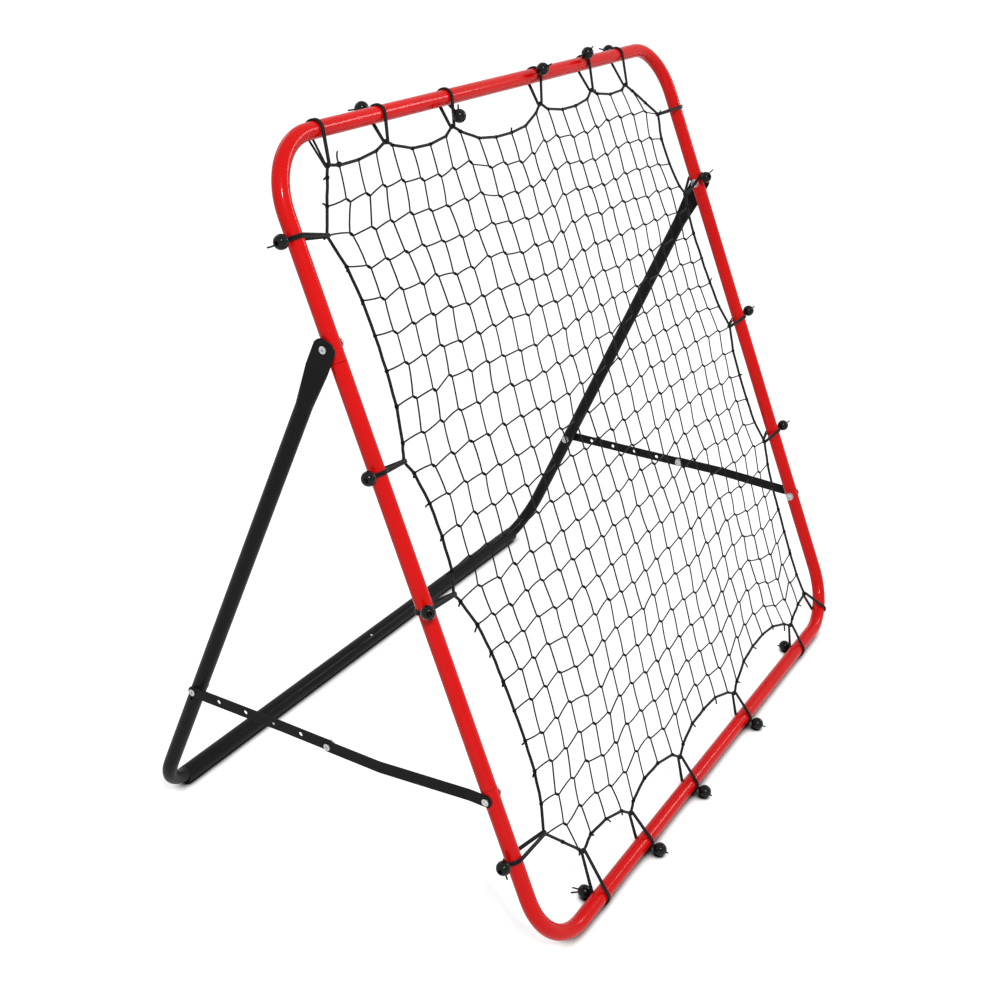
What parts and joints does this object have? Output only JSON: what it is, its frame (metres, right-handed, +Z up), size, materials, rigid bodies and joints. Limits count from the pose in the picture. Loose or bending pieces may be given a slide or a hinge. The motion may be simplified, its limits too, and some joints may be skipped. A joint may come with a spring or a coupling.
{
  "type": "pitch back rebounder",
  "caption": "Free-standing ball rebounder: a square steel tube frame that leans back, a net laced inside it with ball bungees, and a folding rear leg on jointed side braces.",
  "frame": {"origin": "on the floor, in the middle of the footprint's box", "axes": "+X to the right as seen from in front of the net, +Y to the back where the leg stands, +Z up"},
  "size_m": [1.0397, 0.6415, 0.9447],
  "materials": {
    "frame_paint": "glossy red powder coat",
    "leg_paint": "satin black powder coat",
    "zinc": "bright zinc plate",
    "net_cord": "black knotless twine",
    "rope": "black braided rope",
    "elastic": "black covered elastic",
    "ball": "glossy black",
    "spacer": "black nylon"
  },
  "bodies": {
    "net_frame": {"upper_hoop": "frame_paint", "lower_hoop": "frame_paint", "left_side_tube": "frame_paint", "right_side_tube": "frame_paint", "net": "net_cord", "border_rope": "rope", "top_bungees": "elastic", "left_bungees": "elastic", "right_bungees": "elastic", "bottom_bungees": "elastic", "top_balls": "ball", "left_balls": "ball", "right_balls": "ball", "bottom_balls": "ball", "left_pivot_spacer": "spacer", "right_pivot_spacer": "spacer", "left_pivot_bolt": "zinc", "right_pivot_bolt": "zinc", "left_pivot_nut": "zinc", "right_pivot_nut": "zinc", "left_frame_bolt": "zinc", "right_frame_bolt": "zinc", "left_frame_nut": "zinc", "right_frame_nut": "zinc"},
    "rear_leg": {"left_leg": "leg_paint", "left_leg_bolt": "zinc", "left_leg_nut": "zinc", "right_leg": "leg_paint", "right_leg_bolt": "zinc", "right_leg_nut": "zinc", "base_bar": "leg_paint", "base_rivet": "zinc"},
    "left_front_brace": {"left_front_strap": "leg_paint", "left_middle_bolt": "zinc"},
    "left_rear_brace": {"left_rear_strap": "leg_paint", "left_middle_nut": "zinc"},
    "right_front_brace": {"right_front_strap": "leg_paint", "right_middle_bolt": "zinc"},
    "right_rear_brace": {"right_rear_strap": "leg_paint", "right_middle_nut": "zinc"}
  },
  "joints": [
    {"name": "leg_fold", "type": "hinge", "parent": "net_frame", "child": "rear_leg", "pos_m": [0, -0.00081, 0.71063], "axis": [-1, 0, 0], "range_deg": [0, 28]},
    {"name": "left_front_brace_fold", "type": "hinge", "parent": "net_frame", "child": "left_front_brace", "pos_m": [-0.51, -0.20822, 0.20989], "axis": [-1, 0, 0], "range_deg": [0, 81.4]},
    {"name": "left_rear_brace_fold", "type": "hinge", "parent": "rear_leg", "child": "left_rear_brace", "pos_m": [-0.51, 0.21982, 0.21228], "axis": [1, 0, 0], "range_deg": [0, 79]},
    {"name": "right_front_brace_fold", "type": "hinge", "parent": "net_frame", "child": "right_front_brace", "pos_m": [0.51, -0.20822, 0.20989], "axis": [-1, 0, 0], "range_deg": [0, 81.4]},
    {"name": "right_rear_brace_fold", "type": "hinge", "parent": "rear_leg", "child": "right_rear_brace", "pos_m": [0.51, 0.21982, 0.21228], "axis": [1, 0, 0], "range_deg": [0, 79]}
  ],
  "couplings": [
    {"joint": "left_front_brace_fold", "follows": "leg_fold", "ratio": 2.9024},
    {"joint": "left_rear_brace_fold", "follows": "leg_fold", "ratio": 2.8169},
    {"joint": "right_front_brace_fold", "follows": "leg_fold", "ratio": 2.9024},
    {"joint": "right_rear_brace_fold", "follows": "leg_fold", "ratio": 2.8169}
  ]
}
